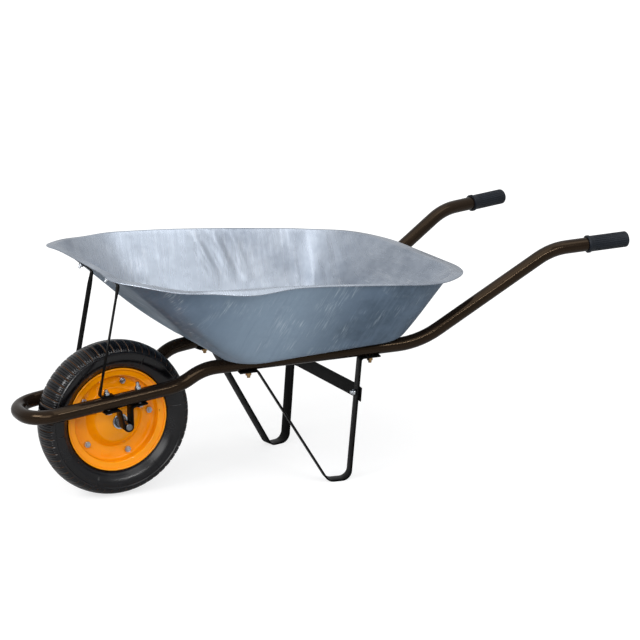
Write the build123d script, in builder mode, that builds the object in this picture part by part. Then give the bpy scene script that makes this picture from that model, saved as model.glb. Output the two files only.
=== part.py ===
from build123d import *
import os
from math import atan, atan2, cos, radians, sin, sqrt, tan

# A single-wheel garden wheelbarrow, in millimetres. +Z is up, -X is ahead, +Y is the user's right.
# The origin is on the ground under the middle of the object. A station is a distance behind the axle.

# Wheel and tyre
tyre_diameter = 355.0
tyre_width = 83.0
tread_depth = 3.0
tread_lug_count = 58
tread_groove_width = 4.0
shoulder_radius = 166.0
shoulder_half_width = 36.0
tyre_wall = 8.0
tyre_crown = 10.0
inner_tube_wall = 2.0
inner_tube_gap = 0.5

# Split rim
rim_sheet = 1.6
rim_lip_radius = 116.4
rim_lip_half_width = 25.5
bead_seat_radius = 101.6
bead_half_width = 21.5
bolt_ring_inner_radius = 68.0
bolt_ring_radius = 85.5
rim_bolt_count = 5
rim_bolt_phase = 3.7
rim_pad_length = 20.0
rim_pad_width = 12.0
rim_pad_height = 0.8
valve_angle = 33.0
valve_offset = 6.0
valve_diameter = 7.0
valve_cap_diameter = 8.2
valve_cap_length = 10.0
valve_tip_radius = 80.0

# Hub bearings and axle
axle_diameter = 15.0
bearing_diameter = 35.0
bearing_width = 11.0
bearing_face = 40.5
ball_diameter = 6.0
ball_count = 8
race_thickness = 2.75
shield_thickness = 0.6
cage_thickness = 2.4
cage_side = 0.7
spacer_wall = 2.4

# Frame tube
tube_diameter = 32.0
tube_wall = 1.5
hoop_station = -218.0
hoop_radius = 60.0
axle_drop = 61.8
wheel_run_half_width = 75.8
wheel_run_flare = 0.04
wheel_run_slope = 0.11
kink_station = 127.0
rail_front_station = 178.0
rail_front_half_width = 96.0
rail_front_height = 290.5
rail_rear_station = 677.0
rail_rear_half_width = 192.0
rail_rear_height = 312.0
elbow_station = 998.0
elbow_half_width = 244.0
elbow_height = 506.3
grip_end_station = 1188.0
grip_end_half_width = 272.4
grip_end_height = 516.3
kink_radius = 110.0
rail_rear_radius = 210.0
elbow_radius = 150.0

# Grips
grip_length = 103.0
grip_diameter = 37.0
grip_end_wall = 5.0
grip_end_round = 6.0
grip_collar_diameter = 41.0
grip_collar_length = 6.0
grip_rib_count = 24
grip_groove_width = 2.0
grip_groove_depth = 1.0
grip_plain_band = 10.0

# Tray: three outlines, each given by its ends, its half-widths and its corner radii
sheet = 1.2
tray_rim_front_station = -74.0
tray_rim_rear_station = 806.0
tray_rim_front_height = 542.5
tray_rim_rear_height = 467.7
tray_rim_nose_half_width = 196.0
tray_rim_front_half_width = 340.0
tray_rim_rear_half_width = 322.0
tray_rim_nose_corner = 115.0
tray_rim_front_corner = 247.0
tray_rim_rear_corner = 205.0
tray_flange_front = 12.0
tray_flange_side = 16.0
tray_flange_rear = 32.0
tray_floor_front_station = 222.0
tray_floor_rear_station = 648.0
tray_floor_nose_half_width = 152.0
tray_floor_front_half_width = 194.0
tray_floor_rear_half_width = 216.0
tray_floor_corner = 70.0
tray_floor_round = 20.0

# Legs and cross bar
leg_width = 30.0
leg_thickness = 4.0
leg_front_bolt_station = 280.0
leg_front_strut_station = 301.0
foot_front_station = 464.0
foot_rear_station = 512.0
leg_rear_strut_station = 536.0
leg_rear_bolt_station = 561.0
leg_flange_margin = 22.0
leg_bend = 9.0
foot_bend = 20.0
cross_bar_height = 205.0
cross_bar_depth = 32.0
cross_bar_thickness = 3.0
cross_bar_overhang = 8.0

# Axle brackets and stays
bracket_width = 30.0
bracket_thickness = 4.0
bracket_bolt_spacing = 74.0
bracket_flange_margin = 14.0
bracket_leg_lean = 6.0
bracket_bend = 8.0
stay_width = 15.0
stay_thickness = 3.0
stay_tab = 14.0
stay_foot_reach = 20.0
stay_top_station = -13.0
stay_top_tab = 39.0
stay_bolt_from_bend = 29.0
stay_bend = 6.0

# Fasteners: nominal diameter, head or nut width across flats, head height, nut height
bolt_diameter = 8.0
bolt_flats = 13.0
bolt_head = 5.3
nut_height = 6.5
bolt_stub = 6.0
carriage_head_diameter = 19.0
carriage_head = 4.2
washer_diameter = 17.0
washer_thickness = 1.6
stay_bolt_diameter = 6.0
stay_bolt_flats = 10.0
stay_nut_height = 5.0

# Fits
seat_gap = 0.05
bolt_clearance = 0.3
race_clearance = 0.05
shield_clearance = 0.5
nut_gap = 0.1
bead_gap = 0.4
bar_gap = 0.35

# Places that follow from the sizes above
tube_radius = tube_diameter / 2
axle_z = tyre_diameter / 2
handle_run = Vector(
    grip_end_station - elbow_station,
    grip_end_half_width - elbow_half_width,
    grip_end_height - elbow_height,
).normalized()
handle_skew = sqrt(1 - handle_run.X**2)
grip_radius = grip_diameter / 2
grip_end_reach = (grip_radius - grip_end_round) * handle_skew + grip_end_round * (1 - handle_run.X)
axle_x = (tube_radius - hoop_station - grip_end_station - grip_end_reach) / 2
axle_centre = Vector(axle_x, 0, axle_z)
axle_line = Axis(axle_centre, (0, 1, 0))
lateral = Vector(0, 1, 0)


def at_station(station, y, z):
    return Vector(axle_x + station, y, z)


def wheel_run(station):
    return at_station(
        station,
        wheel_run_half_width + wheel_run_flare * station,
        axle_z + axle_drop + wheel_run_slope * station,
    )


rail_run = rail_rear_station - rail_front_station
rail_slope = (rail_rear_height - rail_front_height) / rail_run
rail_flare = (rail_rear_half_width - rail_front_half_width) / rail_run
rail_tilt = atan(rail_slope)
rail_heading = atan(rail_flare)


def rail(station):
    along = station - rail_front_station
    return at_station(
        station,
        rail_front_half_width + rail_flare * along,
        rail_front_height + rail_slope * along,
    )


def mirrored(point):
    return Vector(point.X, -point.Y, point.Z)


def both_sides(points):
    return list(points) + [mirrored(point) for point in points]


def finish(piece, name):
    piece.part.label = name
    export_step(piece.part, f"parts/{name}.step")


# Fasteners are drawn on planes that sit on the clamped face, with Z towards the head or out of the nut.
def hex_bolts(planes, diameter, flats, head, grip):
    with BuildPart() as bolts:
        with BuildSketch(*planes):
            RegularPolygon(flats / 2, 6, major_radius=False)
        extrude(amount=head)
        with BuildSketch(*planes):
            Circle(diameter / 2)
        extrude(amount=-grip)
    return bolts


def round_bolts(planes, diameter, head_diameter, head, grip):
    with BuildPart() as bolts:
        with BuildSketch(*planes):
            Circle(head_diameter / 2)
        extrude(amount=head)
        crowns = bolts.edges().filter_by(GeomType.CIRCLE)
        centres = [plane.origin + plane.z_dir * head for plane in planes]
        tops = crowns.filter_by(
            lambda edge: min((edge.arc_center - spot).length for spot in centres) < head / 2
        )
        fillet(tops, head * 0.8)
        with BuildSketch(*planes):
            Circle(diameter / 2)
        extrude(amount=-grip)
    return bolts


def hex_nuts(planes, diameter, flats, height):
    with BuildPart() as nuts:
        with BuildSketch(*planes):
            RegularPolygon(flats / 2, 6, major_radius=False)
            Circle(diameter / 2 + nut_gap, mode=Mode.SUBTRACT)
        extrude(amount=height)
    return nuts


def flat_washers(planes, diameter, outer, thickness):
    with BuildPart() as washers:
        with BuildSketch(*planes):
            Circle(outer / 2)
            Circle(diameter / 2 + bolt_clearance, mode=Mode.SUBTRACT)
        extrude(amount=thickness)
    return washers


def copy_to_left(piece):
    with BuildPart() as copy:
        mirror(piece.part, about=Plane.XZ)
    return copy


os.makedirs("parts", exist_ok=True)

# Tray planes: the floor rests on both rails, the rim falls towards the back
floor_tilt_x = Vector(cos(rail_tilt), 0, sin(rail_tilt))
floor_up = Vector(-sin(rail_tilt), 0, cos(rail_tilt))
floor_seat = tube_radius + seat_gap
rail_at_floor = rail(tray_floor_front_station)
floor_origin = Vector(rail_at_floor.X, 0, rail_at_floor.Z) + floor_up * floor_seat
floor_plane = Plane(origin=floor_origin, x_dir=floor_tilt_x, z_dir=floor_up)
rim_length = tray_rim_rear_station - tray_rim_front_station
rim_tilt = atan2(tray_rim_rear_height - tray_rim_front_height, rim_length)
rim_plane = Plane(
    origin=at_station(tray_rim_front_station, 0, tray_rim_front_height),
    x_dir=(cos(rim_tilt), 0, sin(rim_tilt)),
    z_dir=(-sin(rim_tilt), 0, cos(rim_tilt)),
)
floor_length = (tray_floor_rear_station - tray_floor_front_station) / cos(rail_tilt)
rim_length_on_plane = rim_length / cos(rim_tilt)


def tray_outline(length, nose_half, front_half, rear_half, corners):
    nose_corner, front_corner, rear_corner = corners
    shoulder = front_half - nose_half
    right = [(0, nose_half), (shoulder, front_half), (length, rear_half)]
    left = [(along, -half) for along, half in reversed(right)]
    right_corners = [nose_corner, front_corner, rear_corner]
    left_corners = [rear_corner, front_corner, nose_corner]
    with BuildLine() as outline:
        FilletPolyline(*right, *left, radius=right_corners + left_corners, close=True)
    make_face(outline.edges())


def floor_outline():
    tray_outline(
        floor_length,
        tray_floor_nose_half_width,
        tray_floor_front_half_width,
        tray_floor_rear_half_width,
        [tray_floor_corner] * 3,
    )


def rim_outline():
    tray_outline(
        rim_length_on_plane,
        tray_rim_nose_half_width,
        tray_rim_front_half_width,
        tray_rim_rear_half_width,
        [tray_rim_nose_corner, tray_rim_front_corner, tray_rim_rear_corner],
    )


def wall_top_outline():
    tray_outline(
        rim_length_on_plane - tray_flange_front - tray_flange_rear,
        tray_rim_nose_half_width - tray_flange_front,
        tray_rim_front_half_width - tray_flange_side,
        tray_rim_rear_half_width - tray_flange_side,
        [
            tray_rim_nose_corner - tray_flange_front,
            tray_rim_front_corner - tray_flange_side,
            tray_rim_rear_corner - tray_flange_rear,
        ],
    )


# Front wall of the tray, seen from the side, as the line of its underside
wall_foot = floor_plane.origin
wall_head = rim_plane.origin + rim_plane.x_dir * tray_flange_front
wall_top_plane = Plane(origin=wall_head, x_dir=rim_plane.x_dir, z_dir=rim_plane.z_dir)
wall_down = (wall_foot - wall_head).normalized()
wall_out = Vector(wall_down.Z, 0, -wall_down.X)

# Bolt axes: one plane per bolt, origin on the tube's axis
tray_bolt_stations = (leg_front_bolt_station, leg_rear_bolt_station)
tray_bolt_points = both_sides([rail(station) for station in tray_bolt_stations])
tray_bolt_planes = [Plane(origin=point, x_dir=floor_tilt_x, z_dir=floor_up) for point in tray_bolt_points]
run_tilt = atan(wheel_run_slope)
run_x = Vector(cos(run_tilt), 0, sin(run_tilt))
run_up = Vector(-sin(run_tilt), 0, cos(run_tilt))
axle_to_tube = axle_drop * cos(run_tilt)
axle_foot_station = -axle_drop * sin(run_tilt) * cos(run_tilt)
bracket_bolt_reach = bracket_bolt_spacing / 2 * cos(run_tilt)
bracket_front_station = axle_foot_station - bracket_bolt_reach
bracket_rear_station = axle_foot_station + bracket_bolt_reach
bracket_bolt_points = both_sides([wheel_run(bracket_front_station), wheel_run(bracket_rear_station)])
bracket_bolt_planes = [Plane(origin=point, x_dir=run_x, z_dir=run_up) for point in bracket_bolt_points]

# Frame tube: one bent tube from the right grip round the hoop to the left grip
grip_end = at_station(grip_end_station, grip_end_half_width, grip_end_height)
tube_end = grip_end - handle_run * (grip_end_wall + seat_gap)
elbow = at_station(elbow_station, elbow_half_width, elbow_height)
right_points = [
    tube_end,
    elbow,
    rail(rail_rear_station),
    rail(rail_front_station),
    wheel_run(kink_station),
    wheel_run(hoop_station),
]
left_points = [mirrored(point) for point in reversed(right_points)]
right_bends = [elbow_radius, rail_rear_radius, kink_radius, kink_radius, hoop_radius]
left_bends = list(reversed(right_bends))
with BuildPart() as frame_tube:
    with BuildLine() as tube_path:
        FilletPolyline(*right_points, *left_points, radius=right_bends + left_bends)
    with BuildSketch(Plane(origin=tube_end, z_dir=-handle_run)):
        Circle(tube_radius)
        Circle(tube_radius - tube_wall, mode=Mode.SUBTRACT)
    sweep(path=tube_path.wire())
    with BuildSketch(*tray_bolt_planes, *bracket_bolt_planes):
        Circle(bolt_diameter / 2 + bolt_clearance)
    extrude(amount=tube_diameter, both=True, mode=Mode.SUBTRACT)
finish(frame_tube, "frame_tube")

# Grips: a blind ribbed sleeve with a collar at its mouth
grip_mouth = grip_end - handle_run * grip_length
grip_plane = Plane(origin=grip_mouth, z_dir=handle_run)
grip_body_length = grip_length - grip_end_wall
with BuildPart() as right_grip:
    with BuildSketch(grip_plane):
        Circle(grip_radius)
    extrude(amount=grip_length)
    fillet(right_grip.faces().sort_by(Axis(grip_mouth, handle_run))[-1].edges(), grip_end_round)
    with BuildSketch(grip_plane):
        Circle(grip_collar_diameter / 2)
    extrude(amount=grip_collar_length)
    with BuildSketch(grip_plane.offset(grip_collar_length + grip_plain_band)):
        with PolarLocations(grip_radius, grip_rib_count):
            Rectangle(2 * grip_groove_depth, grip_groove_width)
    extrude(amount=grip_length - grip_collar_length - 2 * grip_plain_band, mode=Mode.SUBTRACT)
    with BuildSketch(grip_plane):
        Circle(tube_radius + seat_gap)
    extrude(amount=grip_body_length, mode=Mode.SUBTRACT)
finish(right_grip, "right_grip")
left_grip = copy_to_left(right_grip)
finish(left_grip, "left_grip")

# Tray: sloping walls between the floor and the rim, then an out-turned flange
stay_lateral = wheel_run(bracket_front_station).Y
stay_top_on_wall = wall_head + wall_down * ((axle_x + stay_top_station - wall_head.X) / wall_down.X)
stay_bolt_point = stay_top_on_wall - wall_down * stay_bolt_from_bend
stay_bolt_points = both_sides([stay_bolt_point + lateral * stay_lateral])
stay_bolt_planes = [Plane(origin=point, x_dir=lateral, z_dir=-wall_out) for point in stay_bolt_points]
wall_lean = atan2(wall_down.X, -wall_down.Z)
wall_across = sheet / cos(wall_lean)
with BuildPart() as tray_inside:
    with BuildSketch(floor_plane.offset(sheet)):
        floor_outline()
        offset(amount=-sheet * (1 - sin(wall_lean)) / cos(wall_lean))
    with BuildSketch(wall_top_plane):
        wall_top_outline()
        offset(amount=-wall_across)
    loft(ruled=True)
    inside_floor = tray_inside.faces().sort_by(Axis(floor_origin, floor_up))[0]
    fillet(inside_floor.edges(), tray_floor_round - sheet)
with BuildPart() as tray:
    with BuildSketch(floor_plane):
        floor_outline()
    with BuildSketch(wall_top_plane):
        wall_top_outline()
    loft(ruled=True)
    outside_floor = tray.faces().sort_by(Axis(floor_origin, floor_up))[0]
    fillet(outside_floor.edges(), tray_floor_round)
    with BuildSketch(rim_plane):
        rim_outline()
    extrude(amount=-sheet)
    add(tray_inside.part, mode=Mode.SUBTRACT)
    with BuildSketch(*tray_bolt_planes):
        Circle(bolt_diameter / 2 + bolt_clearance)
    extrude(amount=tube_diameter, mode=Mode.SUBTRACT)
    with BuildSketch(*stay_bolt_planes):
        Circle(stay_bolt_diameter / 2 + bolt_clearance)
    extrude(amount=3 * sheet, both=True, mode=Mode.SUBTRACT)
finish(tray, "tray")

# Legs: flat strip bent in the upright plane under the rail
rail_foot = rail(rail_front_station)
heading = Vector(cos(rail_heading), sin(rail_heading), 0)
leg_plane = Plane(
    origin=(rail_foot.X, rail_foot.Y, 0),
    x_dir=heading,
    z_dir=(sin(rail_heading), -cos(rail_heading), 0),
)
heading_slope = rail_slope * cos(rail_heading)


def under_rail(station):
    along = (station - rail_front_station) / cos(rail_heading)
    drop = (tube_radius + seat_gap) * sqrt(1 + heading_slope**2)
    return (along, rail_front_height + heading_slope * along - drop)


def on_foot(station):
    return ((station - rail_front_station) / cos(rail_heading), leg_thickness)


strut_foot = Vector(*on_foot(foot_rear_station))
strut_top = Vector(*under_rail(leg_rear_strut_station))
strut_up = (strut_top - strut_foot).normalized()
strut_back = Vector(strut_up.Y, -strut_up.X)
bar_on_strut = strut_foot + strut_up * ((cross_bar_height - leg_thickness) / strut_up.Y)
bar_seat = bar_on_strut + strut_back * leg_thickness
strut_normal = heading * strut_back.X + Vector(0, 0, strut_back.Y)
bar_bolt_point = leg_plane.from_local_coords(bar_on_strut)
bar_seat_point = leg_plane.from_local_coords(bar_seat)
right_bar_bolt_plane = Plane(origin=bar_bolt_point, x_dir=(0, 0, 1), z_dir=-strut_normal)
left_bar_bolt_plane = Plane(
    origin=mirrored(bar_bolt_point), x_dir=(0, 0, 1), z_dir=mirrored(-strut_normal)
)
bar_bolt_planes = [right_bar_bolt_plane, left_bar_bolt_plane]
leg_path_points = [
    under_rail(leg_front_bolt_station - leg_flange_margin),
    under_rail(leg_front_strut_station),
    on_foot(foot_front_station),
    on_foot(foot_rear_station),
    under_rail(leg_rear_strut_station),
    under_rail(leg_rear_bolt_station + leg_flange_margin),
]
with BuildPart() as right_leg:
    with BuildSketch(leg_plane):
        with BuildLine():
            leg_path = FilletPolyline(*leg_path_points, radius=[leg_bend, foot_bend, foot_bend, leg_bend])
            offset(leg_path, amount=leg_thickness, side=Side.RIGHT)
        make_face()
    extrude(amount=leg_width / 2, both=True)
    with BuildSketch(*tray_bolt_planes[:2]):
        Circle(bolt_diameter / 2 + bolt_clearance)
    extrude(amount=-tube_diameter, mode=Mode.SUBTRACT)
    with BuildSketch(right_bar_bolt_plane):
        Circle(bolt_diameter / 2 + bolt_clearance)
    extrude(amount=2 * leg_thickness, both=True, mode=Mode.SUBTRACT)
finish(right_leg, "right_leg")
left_leg = copy_to_left(right_leg)
finish(left_leg, "left_leg")

# Cross bar: behind the rear struts, with its ends bent to lie on them
strut_lean = atan2(strut_up.X * cos(rail_heading), strut_up.Y)
bar_plane = Plane(
    origin=(bar_seat_point.X, 0, bar_seat_point.Z),
    x_dir=lateral,
    z_dir=(sin(strut_lean), 0, cos(strut_lean)),
)
bar_seat_half = bar_seat_point.Y
bar_bend_half = bar_seat_half - leg_width / 2 - cross_bar_overhang
bar_end_half = bar_seat_half + leg_width / 2 + cross_bar_overhang


def bar_front_face(half):
    return (half - bar_seat_half) * rail_flare - bar_gap


bar_path_points = [
    (-bar_end_half, bar_front_face(bar_end_half)),
    (-bar_bend_half, bar_front_face(bar_bend_half)),
    (bar_bend_half, bar_front_face(bar_bend_half)),
    (bar_end_half, bar_front_face(bar_end_half)),
]
with BuildPart() as cross_bar:
    with BuildSketch(bar_plane):
        with BuildLine():
            bar_path = FilletPolyline(*bar_path_points, radius=2 * cross_bar_thickness)
            offset(bar_path, amount=cross_bar_thickness, side=Side.RIGHT)
        make_face()
    extrude(amount=cross_bar_depth / 2, both=True)
    with BuildSketch(*bar_bolt_planes):
        Circle(bolt_diameter / 2 + bolt_clearance)
    extrude(amount=-4 * leg_thickness, mode=Mode.SUBTRACT)
finish(cross_bar, "cross_bar")
bar_stack = leg_thickness + bar_gap + cross_bar_thickness + nut_gap
bar_head_planes = [
    Plane(origin=plane.origin - plane.z_dir * bar_stack, x_dir=plane.x_dir, z_dir=-plane.z_dir)
    for plane in bar_bolt_planes
]
cross_bar_bolts = hex_bolts(
    bar_head_planes,
    bolt_diameter,
    bolt_flats,
    bolt_head,
    bar_stack + nut_gap + nut_height + bolt_stub,
)
finish(cross_bar_bolts, "cross_bar_bolts")
bar_nut_planes = [plane.offset(nut_gap) for plane in bar_bolt_planes]
finish(hex_nuts(bar_nut_planes, bolt_diameter, bolt_flats, nut_height), "cross_bar_nuts")

# Tray bolts: round head in the tray, washer and nut under the leg's flange
tray_head_planes = [plane.offset(floor_seat + sheet + seat_gap) for plane in tray_bolt_planes]
leg_underside = tube_radius + seat_gap + leg_thickness + nut_gap
tray_washer_planes = [
    Plane(origin=plane.origin - plane.z_dir * leg_underside, x_dir=plane.x_dir, z_dir=-plane.z_dir)
    for plane in tray_bolt_planes
]
tray_nut_planes = [plane.offset(washer_thickness + seat_gap) for plane in tray_washer_planes]
tray_bolt_grip = floor_seat + sheet + leg_underside + washer_thickness + nut_height + bolt_stub
tray_bolts = round_bolts(
    tray_head_planes, bolt_diameter, carriage_head_diameter, carriage_head, tray_bolt_grip
)
finish(tray_bolts, "tray_bolts")
tray_washers = flat_washers(tray_washer_planes, bolt_diameter, washer_diameter, washer_thickness)
finish(tray_washers, "tray_washers")
finish(hex_nuts(tray_nut_planes, bolt_diameter, bolt_flats, nut_height), "tray_nuts")

# Axle brackets: a strap under the tube that wraps round the axle
bracket_plane = Plane(
    origin=(axle_x, wheel_run_half_width, axle_z), x_dir=run_x, z_dir=(0, -1, 0)
)
strap_bore = axle_diameter / 2 + seat_gap
strap_lean = radians(bracket_leg_lean)
strap_top = axle_to_tube - tube_radius - seat_gap
strap_top_half = strap_bore / cos(strap_lean) + strap_top * tan(strap_lean)
strap_end = bracket_bolt_spacing / 2 + bracket_flange_margin
strap_touch = (strap_bore * cos(strap_lean), -strap_bore * sin(strap_lean))
with BuildPart() as right_axle_bracket:
    with BuildSketch(bracket_plane):
        with BuildLine() as strap_path:
            FilletPolyline(
                (-strap_end, strap_top),
                (-strap_top_half, strap_top),
                (-strap_touch[0], strap_touch[1]),
                radius=bracket_bend,
            )
            ThreePointArc((-strap_touch[0], strap_touch[1]), (0, -strap_bore), strap_touch)
            FilletPolyline(
                strap_touch,
                (strap_top_half, strap_top),
                (strap_end, strap_top),
                radius=bracket_bend,
            )
            offset(strap_path.wire(), amount=bracket_thickness, side=Side.RIGHT)
        make_face()
    extrude(amount=bracket_width / 2, both=True)
    with BuildSketch(*bracket_bolt_planes[:2]):
        Circle(bolt_diameter / 2 + bolt_clearance)
    extrude(amount=-tube_diameter, mode=Mode.SUBTRACT)
finish(right_axle_bracket, "right_axle_bracket")
left_axle_bracket = copy_to_left(right_axle_bracket)
finish(left_axle_bracket, "left_axle_bracket")

# Stays: flat strip from the tube's top to the underside of the tray's front wall
stay_plane = Plane(origin=(0, stay_lateral, 0), x_dir=(1, 0, 0), z_dir=(0, -1, 0))
stay_seat = wheel_run(bracket_front_station) + run_up * (tube_radius + seat_gap)
stay_tab_end = stay_seat + run_x * stay_tab
stay_foot = stay_seat - run_x * stay_foot_reach
stay_top = stay_top_on_wall + wall_out * (stay_thickness + seat_gap)
stay_tip = stay_top - wall_down * stay_top_tab
stay_points = [(point.X, point.Z) for point in (stay_tab_end, stay_foot, stay_top, stay_tip)]
with BuildPart() as right_stay:
    with BuildSketch(stay_plane):
        with BuildLine():
            stay_path = FilletPolyline(*stay_points, radius=stay_bend)
            offset(stay_path, amount=stay_thickness, side=Side.RIGHT)
        make_face()
    extrude(amount=stay_width / 2, both=True)
    with BuildSketch(bracket_bolt_planes[0]):
        Circle(bolt_diameter / 2 + bolt_clearance)
    extrude(amount=tube_diameter, mode=Mode.SUBTRACT)
    with BuildSketch(stay_bolt_planes[0]):
        Circle(stay_bolt_diameter / 2 + bolt_clearance)
    extrude(amount=3 * stay_thickness, both=True, mode=Mode.SUBTRACT)
finish(right_stay, "right_stay")
left_stay = copy_to_left(right_stay)
finish(left_stay, "left_stay")

stay_nut_gap = stay_thickness + seat_gap + nut_gap
stay_nut_planes = [
    Plane(origin=plane.origin - plane.z_dir * stay_nut_gap, x_dir=plane.x_dir, z_dir=-plane.z_dir)
    for plane in stay_bolt_planes
]
stay_bolt_grip = sheet + stay_nut_gap + stay_nut_height + bolt_stub
stay_bolts = round_bolts(
    [plane.offset(sheet + 2 * nut_gap) for plane in stay_bolt_planes],
    stay_bolt_diameter,
    2 * stay_bolt_diameter,
    carriage_head / 2,
    stay_bolt_grip,
)
finish(stay_bolts, "stay_bolts")
finish(hex_nuts(stay_nut_planes, stay_bolt_diameter, stay_bolt_flats, stay_nut_height), "stay_nuts")

# Bracket bolts: head under the strap, nut on top of the tube, on the stay's tab at the front
strap_underside = tube_radius + seat_gap + bracket_thickness + seat_gap
bracket_head_planes = [
    Plane(origin=plane.origin - plane.z_dir * strap_underside, x_dir=plane.x_dir, z_dir=-plane.z_dir)
    for plane in bracket_bolt_planes
]
stay_on_tube = stay_thickness + seat_gap
bracket_nut_seat = tube_radius + nut_gap + stay_on_tube
bracket_bolt_grip = strap_underside + bracket_nut_seat + nut_height + bolt_stub
bracket_bolts = hex_bolts(bracket_head_planes, bolt_diameter, bolt_flats, bolt_head, bracket_bolt_grip)
finish(bracket_bolts, "bracket_bolts")
front_nut_planes = [plane.offset(bracket_nut_seat) for plane in bracket_bolt_planes[::2]]
rear_nut_planes = [plane.offset(bracket_nut_seat - stay_on_tube) for plane in bracket_bolt_planes[1::2]]
bracket_nuts = hex_nuts(front_nut_planes + rear_nut_planes, bolt_diameter, bolt_flats, nut_height)
finish(bracket_nuts, "bracket_nuts")

# Axle and the sleeves that hold the bearings apart and centred
axle_plane = Plane(origin=axle_centre, x_dir=(1, 0, 0), z_dir=lateral)
bracket_inner_face = wheel_run_half_width - bracket_width / 2
bracket_outer_face = wheel_run_half_width + bracket_width / 2
bearing_back = bearing_face - bearing_width
sleeve_bore = axle_diameter / 2 + seat_gap
with BuildPart() as axle:
    with BuildSketch(axle_plane):
        Circle(axle_diameter / 2)
    extrude(amount=bracket_outer_face + tube_wall, both=True)
    chamfer(axle.edges().filter_by(GeomType.CIRCLE), tube_wall / 2)
finish(axle, "axle")
with BuildPart() as bearing_spacer:
    with BuildSketch(axle_plane):
        Circle(sleeve_bore + spacer_wall)
        Circle(sleeve_bore, mode=Mode.SUBTRACT)
    extrude(amount=bearing_back, both=True)
finish(bearing_spacer, "bearing_spacer")
with BuildPart() as right_axle_spacer:
    with BuildSketch(axle_plane.offset(bearing_face)):
        Circle(sleeve_bore + spacer_wall)
        Circle(sleeve_bore, mode=Mode.SUBTRACT)
    extrude(amount=bracket_inner_face - bearing_face)
finish(right_axle_spacer, "right_axle_spacer")
left_axle_spacer = copy_to_left(right_axle_spacer)
finish(left_axle_spacer, "left_axle_spacer")

# Ball bearings: races with a running groove, balls in a cage, and a shield on each side
bearing_radius = bearing_diameter / 2
ball_radius = ball_diameter / 2
pitch_radius = (bearing_radius + axle_diameter / 2) / 2
inner_race_radius = axle_diameter / 2 + race_thickness
outer_race_bore = bearing_radius - race_thickness
bearing_planes = [axle_plane.offset(bearing_back), axle_plane.offset(-bearing_face)]
bearing_centres = [axle_centre + lateral * side * (bearing_face - bearing_width / 2) for side in (1, -1)]
ball_planes = [Plane(origin=centre, x_dir=(1, 0, 0), z_dir=lateral) for centre in bearing_centres]


def race_ring(outer, inner):
    with BuildPart() as race:
        with BuildSketch(*bearing_planes):
            Circle(outer)
            Circle(inner, mode=Mode.SUBTRACT)
        extrude(amount=bearing_width)
        with Locations(*ball_planes):
            Torus(pitch_radius, ball_radius + race_clearance, mode=Mode.SUBTRACT)
    return race


finish(race_ring(inner_race_radius, sleeve_bore), "bearing_inner_races")
finish(race_ring(bearing_radius, outer_race_bore), "bearing_outer_races")
with BuildPart() as bearing_balls:
    with Locations(*ball_planes):
        with PolarLocations(pitch_radius, ball_count):
            Sphere(ball_radius)
finish(bearing_balls, "bearing_balls")
cage_half_width = ball_radius + race_clearance + cage_side
with BuildPart() as bearing_cages:
    with BuildSketch(*ball_planes):
        Circle(pitch_radius + cage_thickness / 2)
        Circle(pitch_radius - cage_thickness / 2, mode=Mode.SUBTRACT)
    extrude(amount=cage_half_width, both=True)
    with Locations(*ball_planes):
        with PolarLocations(pitch_radius, ball_count):
            pocket_radius = ball_radius + race_clearance
            Cylinder(pocket_radius, 2 * cage_thickness, rotation=(0, 90, 0), mode=Mode.SUBTRACT)
finish(bearing_cages, "bearing_cages")
shield_planes = []
for plane in bearing_planes:
    shield_planes.append(plane.offset(shield_thickness))
    shield_planes.append(plane.offset(bearing_width - 2 * shield_thickness))
with BuildPart() as bearing_shields:
    with BuildSketch(*shield_planes):
        Circle(outer_race_bore - seat_gap)
        Circle(inner_race_radius + shield_clearance, mode=Mode.SUBTRACT)
    extrude(amount=shield_thickness)
finish(bearing_shields, "bearing_shields")

# Split rim: two pressed halves that meet on the centre plane, seen here as radius against distance from it.
# Each half has a low pressed pad midway between its bolts.
wheel_section = Plane(origin=axle_centre, x_dir=(1, 0, 0), z_dir=(0, 0, 1))
bearing_seat = bearing_radius + seat_gap
dome_top = bearing_face + rim_sheet / 2
dome_span = bolt_ring_inner_radius - bearing_seat
bead_wall = bead_seat_radius - rim_sheet
rim_points = [
    (bearing_seat, bearing_back - rim_sheet),
    (bearing_seat, dome_top),
    (bearing_seat + dome_span * 0.2, dome_top - dome_span * 0.06),
    (bearing_seat + dome_span * 0.68, dome_top * 0.6),
    (bolt_ring_inner_radius, rim_sheet),
    (bead_wall, rim_sheet),
    (bead_wall, bead_half_width),
    (rim_lip_radius, bead_half_width + rim_sheet / 2),
    (rim_lip_radius + rim_sheet / 2, rim_lip_half_width),
]
rim_bends = [2.0, 12.0, 22.0, 6.0, 6.0, 3.5, 3.0]
rim_pad_phase = rim_bolt_phase + 180 / rim_bolt_count
bolt_ring_plane = Plane(origin=axle_centre, x_dir=(1, 0, 0), z_dir=(0, -1, 0))
with BuildPart() as right_rim_half:
    with BuildSketch(wheel_section):
        with BuildLine():
            rim_path = FilletPolyline(*rim_points, radius=rim_bends)
            offset(rim_path, amount=rim_sheet, side=Side.RIGHT)
        make_face()
    revolve(axis=axle_line)
    with BuildSketch(bolt_ring_plane):
        with PolarLocations(bolt_ring_radius, rim_bolt_count, start_angle=rim_bolt_phase):
            Circle(bolt_diameter / 2 + bolt_clearance)
    extrude(amount=4 * rim_sheet, both=True, mode=Mode.SUBTRACT)
    with BuildSketch(bolt_ring_plane.offset(-rim_sheet)):
        with PolarLocations(bolt_ring_radius, rim_bolt_count, start_angle=rim_pad_phase):
            Rectangle(rim_pad_width, rim_pad_length)
    extrude(amount=-rim_pad_height)
finish(right_rim_half, "right_rim_half")
valve_direction = Vector(cos(radians(valve_angle)), 0, sin(radians(valve_angle)))
valve_foot = axle_centre + valve_direction * valve_tip_radius - lateral * valve_offset
valve_plane = Plane(origin=valve_foot, x_dir=lateral, z_dir=valve_direction)
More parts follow.
